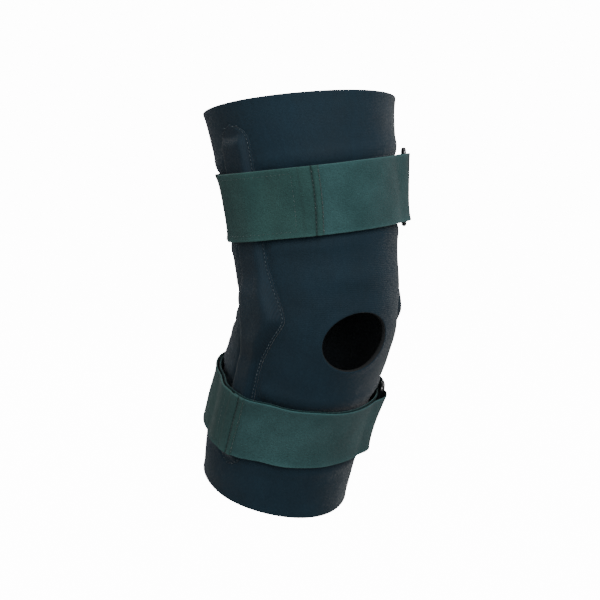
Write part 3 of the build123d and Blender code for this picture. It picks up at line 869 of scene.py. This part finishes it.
class Nodes:
    """A node material, with short calls for the nodes it uses."""

    def __init__(
        self, name, roughness, metallic=0.0, sheen=0.0, sheen_rough=0.4, coat=0.0, specular=0.5
    ):
        self.mat = bpy.data.materials.new(name)
        self.mat.use_nodes = True
        self.tree = self.mat.node_tree
        self.bsdf = self.tree.nodes["Principled BSDF"]
        self.set("Roughness", roughness)
        self.set("Metallic", metallic)
        self.set("Sheen Weight", sheen)
        self.set("Sheen Roughness", sheen_rough)
        self.set("Coat Weight", coat)
        self.set("Specular IOR Level", specular)

    def set(self, socket, value):
        self.bsdf.inputs[socket].default_value = value

    def add(self, kind, **inputs):
        """A node. _name sets a property, i0 is input 0, and other names are the inputs' own."""
        node = self.tree.nodes.new(kind)
        for key, value in inputs.items():
            if key.startswith("_"):
                setattr(node, key[1:], value)
                continue
            numbered = key[0] == "i" and key[1:].isdigit()
            socket = node.inputs[int(key[1:]) if numbered else key.replace("_", " ")]
            if isinstance(value, bpy.types.NodeSocket):
                self.tree.links.new(value, socket)
            else:
                socket.default_value = value
        return node

    def uv(self, scale):
        """The cloth's own coordinates in metres, times a scale across and along."""
        source = self.add("ShaderNodeUVMap", _uv_map="UVMap")
        return self.add("ShaderNodeMapping", Vector=source.outputs[0], Scale=(*scale, 1)).outputs[0]

    def turns(self, across, along):
        """The cloth's coordinates as angles that turn once in each of two pitches in metres."""
        uv = self.add("ShaderNodeUVMap", _uv_map="UVMap").outputs[0]
        xy = self.add("ShaderNodeSeparateXYZ", Vector=uv)
        return (
            self.math("MULTIPLY", xy.outputs[0], 2 * math.pi / across),
            self.math("MULTIPLY", xy.outputs[1], 2 * math.pi / along),
        )

    def place(self, scale=(1, 1, 1)):
        """The object's own coordinates in metres, times a scale."""
        source = self.add("ShaderNodeTexCoord")
        return self.add("ShaderNodeMapping", Vector=source.outputs["Object"], Scale=scale).outputs[0]

    def noise(self, vector, scale, detail=3.0, rough=0.55):
        return self.add(
            "ShaderNodeTexNoise", Vector=vector, Scale=scale, Detail=detail, Roughness=rough
        ).outputs[0]

    def math(self, operation, a, b=0.0):
        return self.add("ShaderNodeMath", _operation=operation, i0=a, i1=b).outputs[0]

    def mix(self, factor, a, b):
        node = self.add("ShaderNodeMix", _data_type="RGBA", i0=factor, i6=a, i7=b)
        return node.outputs[2]

    def span(self, value, low, high, to_low=0.0, to_high=1.0):
        return self.add(
            "ShaderNodeMapRange", Value=value, From_Min=low, From_Max=high,
            To_Min=to_low, To_Max=to_high,
        ).outputs[0]

    def attribute(self, name):
        return self.add("ShaderNodeAttribute", _attribute_name=name).outputs["Fac"]

    def colour(self, socket):
        self.tree.links.new(socket, self.bsdf.inputs["Base Color"])

    def rough(self, socket):
        self.tree.links.new(socket, self.bsdf.inputs["Roughness"])

    def bump(self, *layers):
        """Bump from (height, depth in metres) pairs, laid one on another."""
        normal = None
        for height, depth in layers:
            node = self.add("ShaderNodeBump", Height=height, Distance=depth, Strength=1.0)
            if normal is not None:
                self.tree.links.new(normal, node.inputs["Normal"])
            normal = node.outputs[0]
        self.tree.links.new(normal, self.bsdf.inputs["Normal"])


def knit(m, wale, course):
    """The height of a jersey knit: rows of small V loops."""
    u, v = m.turns(wale, course)
    ridge = m.math("ABSOLUTE", m.math("SINE", m.math("MULTIPLY", u, 0.5)))
    tilt = m.math("MULTIPLY", m.math("COSINE", u), 1.4)
    loops = m.math("ADD", m.math("MULTIPLY", m.math("SINE", m.math("ADD", v, tilt)), 0.5), 0.5)
    return m.math("MULTIPLY", ridge, m.math("ADD", m.math("MULTIPLY", loops, 0.6), 0.4))


def weave(m, warp, weft):
    """The height of a plain woven webbing."""
    u, v = (m.math("SINE", turn) for turn in m.turns(weft, warp))
    return m.math("ADD", m.math("MULTIPLY", m.math("MULTIPLY", u, v), 0.5), 0.5)


def jersey(name, dark, light, roughness=0.72, sheen=0.1):
    """Nylon jersey bonded to neoprene."""
    m = Nodes(name, roughness, sheen=sheen, sheen_rough=0.35, specular=0.16)
    cloud = m.noise(m.place(), 26.0, 4.0)
    streak = m.noise(m.uv((90, 22)), 4.0, 3.0)
    loops = knit(m, 0.00085, 0.0011)
    shade = m.mix(m.span(cloud, 0.35, 0.65), dark, light)
    shade = m.mix(m.span(streak, 0.3, 0.7, 0.0, 0.35), shade, scaled(dark, 0.72))
    shade = m.mix(m.math("MULTIPLY", loops, 0.25), shade, scaled(light, 1.9))
    m.colour(shade)
    m.rough(m.span(cloud, 0.2, 0.8, roughness - 0.08, roughness + 0.08))
    fuzz = m.noise(m.place(), 1500.0, 2.0)
    dents = m.noise(m.place(), 60.0, 3.0)
    m.bump((dents, 0.0009), (loops, 0.00018), (fuzz, 0.00012))
    return m.mat


def loop_cloth(name, dark, light, sheen=0.07):
    """Brushed nylon loop cloth: a short dull nap with a worn, paler edge, and painted shade where the
    dark attribute is set.
    """
    m = Nodes(name, 0.88, sheen=sheen, sheen_rough=0.5, specular=0.1)
    nap = m.noise(m.place(), 900.0, 4.0, 0.7)
    brushed = m.noise(m.uv((40, 420)), 6.0, 3.0)
    cloud = m.noise(m.place(), 34.0, 4.0)
    shade = m.mix(m.span(cloud, 0.34, 0.66), dark, light)
    shade = m.mix(m.span(nap, 0.35, 0.62, 0.35, 0.0), shade, scaled(dark, 0.4))
    shade = m.mix(m.span(brushed, 0.5, 0.75, 0.0, 0.22), shade, scaled(light, 1.8))
    shade = m.mix(m.math("MULTIPLY", m.attribute("wear"), 0.35), shade, scaled(light, 2.0))
    # Painted shade from the dark attribute: round the fold at the ring and in the lap's stitch grooves.
    shade = m.mix(m.math("MULTIPLY", m.attribute("dark"), 0.9), shade, scaled(dark, 0.25))
    m.colour(shade)
    m.rough(m.span(cloud, 0.2, 0.8, 0.82, 0.95))
    tufts = m.add("ShaderNodeTexVoronoi", Vector=m.place(), Scale=1300.0).outputs[0]
    m.bump((cloud, 0.0006), (tufts, 0.00035), (nap, 0.0004))
    return m.mat


def hook_cloth(name, colour):
    """Moulded hook tape."""
    m = Nodes(name, 0.5, specular=0.4)
    hooks = m.add("ShaderNodeTexVoronoi", Vector=m.place(), Scale=900.0).outputs[0]
    cloud = m.noise(m.place(), 80.0)
    m.colour(m.mix(cloud, colour, scaled(colour, 1.8)))
    m.bump((hooks, 0.0006),)
    return m.mat


def web_cloth(name, dark, light):
    """Dense woven nylon webbing."""
    m = Nodes(name, 0.7, sheen=0.04, specular=0.12)
    threads = weave(m, 0.0016, 0.0012)
    cloud = m.noise(m.place(), 60.0)
    shade = m.mix(m.math("MULTIPLY", threads, cloud), dark, light)
    shade = m.mix(m.math("MULTIPLY", m.attribute("wear"), 0.3), shade, scaled(light, 2.0))
    m.colour(shade)
    m.bump((threads, 0.0003), (m.noise(m.place(), 1500.0), 0.0001))
    return m.mat


def foam_rubber(name, colour):
    """The raw cut edge of neoprene foam."""
    m = Nodes(name, 0.85, specular=0.25)
    cells = m.add("ShaderNodeTexVoronoi", Vector=m.place(), Scale=1800.0).outputs[0]
    m.colour(m.mix(cells, colour, scaled(colour, 2.2)))
    m.bump((cells, 0.0003),)
    return m.mat


def thread_cloth(name, colour):
    """Twisted polyester thread."""
    m = Nodes(name, 0.55, sheen=0.3, specular=0.4)
    twist = m.add(
        "ShaderNodeTexWave", Vector=m.uv((300, 900)), Scale=1.0, _bands_direction="DIAGONAL"
    ).outputs[1]
    cloud = m.noise(m.place(), 120.0)
    m.colour(m.mix(cloud, colour, scaled(colour, 0.6)))
    m.bump((twist, 0.0001),)
    return m.mat


def plastic(name, colour, roughness=0.3, coat=0.25):
    """Moulded plastic with a faint grain and fine scuffs."""
    m = Nodes(name, roughness, coat=coat, specular=0.5)
    cloud = m.noise(m.place(), 70.0)
    scuff = m.noise(m.place((140, 900, 140)), 1.0, 5.0)
    scuffed = tuple(c * 3 + 0.01 for c in colour[:3]) + (1.0,)
    m.colour(m.mix(m.span(scuff, 0.62, 0.8, 0.0, 0.5), colour, scuffed))
    m.rough(m.span(cloud, 0.3, 0.7, roughness - 0.06, roughness + 0.1))
    m.bump((m.noise(m.place(), 1400.0, 2.0), 0.00004), (cloud, 0.0002))
    return m.mat


def metal(name, colour, roughness, brushed=(60, 60, 1800)):
    """Brushed or rolled metal with fine marks."""
    m = Nodes(name, roughness, metallic=1.0)
    grain = m.noise(m.place(brushed), 1.0, 4.0)
    cloud = m.noise(m.place(), 90.0)
    m.colour(m.mix(cloud, colour, scaled(colour, 0.75)))
    m.rough(m.span(grain, 0.3, 0.7, roughness - 0.08, roughness + 0.12))
    m.bump((grain, 0.00003),)
    return m.mat


sleeve_cloth = jersey("neoprene_jersey", srgb(8, 25, 34), srgb(12, 32, 43))
lining_cloth = jersey("lining_jersey", srgb(26, 30, 34), srgb(34, 39, 44), 0.8, 0.05)
pocket_cloth = jersey("pocket_jersey", srgb(7, 22, 31), srgb(11, 29, 39), 0.68, 0.1)
cut_foam = foam_rubber("cut_foam", srgb(12, 14, 16))
mats = {
    "strap": loop_cloth("loop_cloth", srgb(31, 57, 58), srgb(43, 71, 72)),
    # A darker copy of the loop cloth for the wrapped under-layer's outward face: painted shade.
    "strap_painted_shade": loop_cloth("strap_painted_shade_cloth", srgb(6, 24, 25), srgb(9, 32, 33), 0.03),
    "tab": loop_cloth("tab_loop_cloth", srgb(29, 54, 53), srgb(38, 65, 63)),
    "hook": hook_cloth("hook_tape", srgb(16, 18, 19)),
    "webbing": web_cloth("webbing", srgb(8, 20, 25), srgb(20, 38, 45)),
    "thread": thread_cloth("seam_thread", srgb(24, 44, 46)),
    "tab_thread": thread_cloth("tab_thread", srgb(34, 58, 59)),
    "pocket_thread": thread_cloth("pocket_thread", srgb(40, 57, 66)),
}

sleeve = build_sleeve(sleeve_cloth, lining_cloth, cut_foam)
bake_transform(sleeve)
for side in ("lateral", "medial"):
    pocket, stitches = build_pocket(side, pocket_cloth, mats["pocket_thread"])
    for piece in (pocket, stitches):
        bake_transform(piece)
for name, strap in STRAPS.items():
    build_strap(name, strap, mats)

black_plastic = plastic("ring_plastic", srgb(14, 16, 18), 0.24, 0.5)
cover_plastic = plastic("cover_plastic", srgb(22, 24, 26), 0.42, 0.1)
tip_plastic = plastic("tip_vinyl", srgb(30, 32, 34), 0.55, 0.0)
washer_plastic = plastic("washer_nylon", srgb(190, 190, 184), 0.4, 0.0)
aluminium = metal("arm_aluminium", srgb(190, 193, 196), 0.36)
steel = metal("rivet_steel", srgb(176, 176, 178), 0.28, (300, 300, 300))
HARDWARE = (
    ("_ring", black_plastic), ("_cover", cover_plastic), ("_tip", tip_plastic),
    ("_washer", washer_plastic), ("_rivet", steel), ("_stop_pin", steel), ("_arm", aluminium),
)
for node_name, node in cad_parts.items():
    for ending, mat in HARDWARE:
        if node_name.endswith(ending):
            node.data.materials.clear()
            node.data.materials.append(mat)

# ---- floor, light and camera
FLOOR_LEVEL = -0.30
WORLD_LIGHT = 0.32
SEEN_WHITE = 14.0            # how bright the studio looks, without lighting the brace
CAMERA_PLACE = (-39, 6.5, 1.1)
CAMERA_LENS = 83.54
AIM_UP = 0.00948             # the camera looks this far over and beside the hinge axis
AIM_LEFT = 0.01706


def studio():
    """A wide pale floor under the brace and an even white surround."""
    reach = 6.0 / MM
    corners = [(-reach, -reach), (reach, -reach), (reach, reach), (-reach, reach)]
    points = [(x, y, FLOOR_LEVEL / MM) for x, y in corners]
    m = Nodes("floor_paint", 0.8, specular=0.1)
    m.colour(m.mix(m.noise(m.place(), 3.0), srgb(150, 150, 150), srgb(160, 160, 160)))
    m.set("Emission Color", (1, 1, 1, 1))
    seen = m.add("ShaderNodeLightPath").outputs[0]
    m.tree.links.new(m.math("MULTIPLY", seen, SEEN_WHITE), m.bsdf.inputs["Emission Strength"])
    obj = mesh_object("floor", points, [(0, 1, 2, 3)], np.zeros((4, 2)), (m.mat,))
    world = bpy.data.worlds.new("studio")
    world.use_nodes = True
    tree = world.node_tree
    seen = tree.nodes.new("ShaderNodeLightPath").outputs[0]
    strength = tree.nodes.new("ShaderNodeMapRange")
    strength.inputs["To Min"].default_value = WORLD_LIGHT
    strength.inputs["To Max"].default_value = SEEN_WHITE
    tree.links.new(seen, strength.inputs["Value"])
    tree.links.new(strength.outputs[0], tree.nodes["Background"].inputs[1])
    tree.nodes["Background"].inputs[0].default_value = (1, 1, 1, 1)
    bpy.context.scene.world = world


def round_brace(azimuth, elevation, distance):
    """A place at an azimuth from the front, an elevation and a distance in metres."""
    a, e = math.radians(azimuth), math.radians(elevation)
    return Vector((math.sin(a) * math.cos(e), -math.cos(a) * math.cos(e), math.sin(e))) * distance


def area_light(name, azimuth, elevation, distance, size, energy):
    """A soft light that looks at the brace."""
    data = bpy.data.lights.new(name, "AREA")
    data.shape = "RECTANGLE"
    data.size, data.size_y = size
    data.energy = energy
    obj = bpy.data.objects.new(name, data)
    obj.location = round_brace(azimuth, elevation, distance)
    obj.rotation_euler = (-obj.location).to_track_quat("-Z", "Y").to_euler()
    bpy.context.scene.collection.objects.link(obj)


def add_camera():
    """The camera, at the photograph's angle and distance."""
    place = round_brace(*CAMERA_PLACE)
    ahead = -place.normalized()
    right = ahead.cross(Vector((0, 0, 1))).normalized()
    up = right.cross(ahead)
    aim = up * AIM_UP - right * AIM_LEFT
    data = bpy.data.cameras.new("camera")
    data.lens = CAMERA_LENS
    data.sensor_width = 36.0
    obj = bpy.data.objects.new("camera", data)
    obj.location = place
    obj.rotation_euler = (aim - place).to_track_quat("-Z", "Y").to_euler()
    bpy.context.scene.collection.objects.link(obj)
    bpy.context.scene.camera = obj


studio()
area_light("key", -16, 26, 1.8, (0.9, 1.3), 42)
area_light("fill", -95, 15, 1.9, (1.0, 1.6), 14)
area_light("top", -20, 80, 1.8, (1.2, 1.2), 12)
area_light("side", 95, 22, 2.0, (0.9, 1.2), 5)
area_light("rear", 165, 25, 2.0, (1.2, 1.2), 18)
add_camera()
